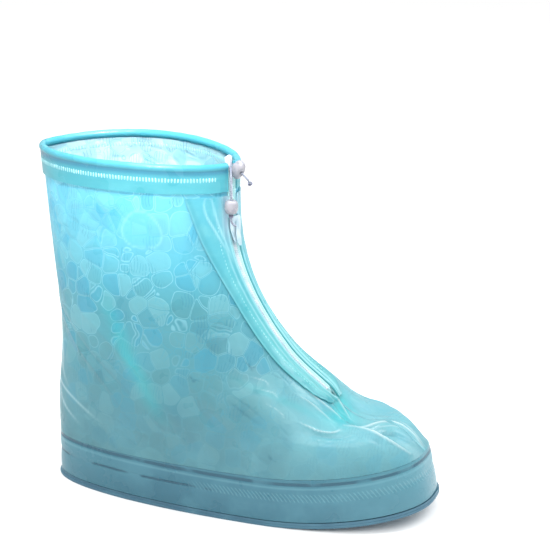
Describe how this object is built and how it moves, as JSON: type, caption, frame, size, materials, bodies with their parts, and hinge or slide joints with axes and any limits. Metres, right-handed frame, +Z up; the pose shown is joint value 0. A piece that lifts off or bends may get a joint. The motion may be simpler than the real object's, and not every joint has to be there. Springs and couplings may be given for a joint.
{
  "type": "shoe cover",
  "caption": "Calf-height clear vinyl rain cover for a shoe, with a moulded sole, a side wall band, a front zip between welded strips, and a drawcord hem with beaded ends.",
  "frame": {"origin": "on the flat underside of the sole, midway between its two sides at the heel, 120 mm in front of the heel's back edge", "axes": "+X towards the toe, +Y towards the inner side of the foot, +Z up out of the flat underside"},
  "size_m": [0.3037, 0.1151, 0.2549],
  "materials": {
    "clear_vinyl": "clear tinted sheet embossed with rounded pebbles",
    "hem_vinyl": "the same sheet doubled and welded",
    "side_wall_vinyl": "thicker sheet, faintly ribbed",
    "sole_vinyl": "moulded",
    "zip_tape": "fine weave",
    "zip_coil": "moulded coil",
    "zip_slider": "moulded",
    "cord": "braided",
    "cord_bead": "moulded"
  },
  "bodies": {
    "root": {"outsole": "sole_vinyl", "sidewall_band": "side_wall_vinyl", "upper_outer": "clear_vinyl", "upper_inner": "clear_vinyl", "top_hem": "hem_vinyl", "placket_outer": "hem_vinyl", "placket_inner": "hem_vinyl", "zip_tape": "zip_tape", "tape_end": "zip_tape", "zip_coil": "zip_coil", "zip_slider": "zip_slider", "drawcord": "cord", "cord_end_near": "cord", "cord_end_far": "cord", "bead_lower": "cord_bead", "bead_upper": "cord_bead", "knot_lower": "cord", "knot_upper": "cord"}
  },
  "joints": []
}
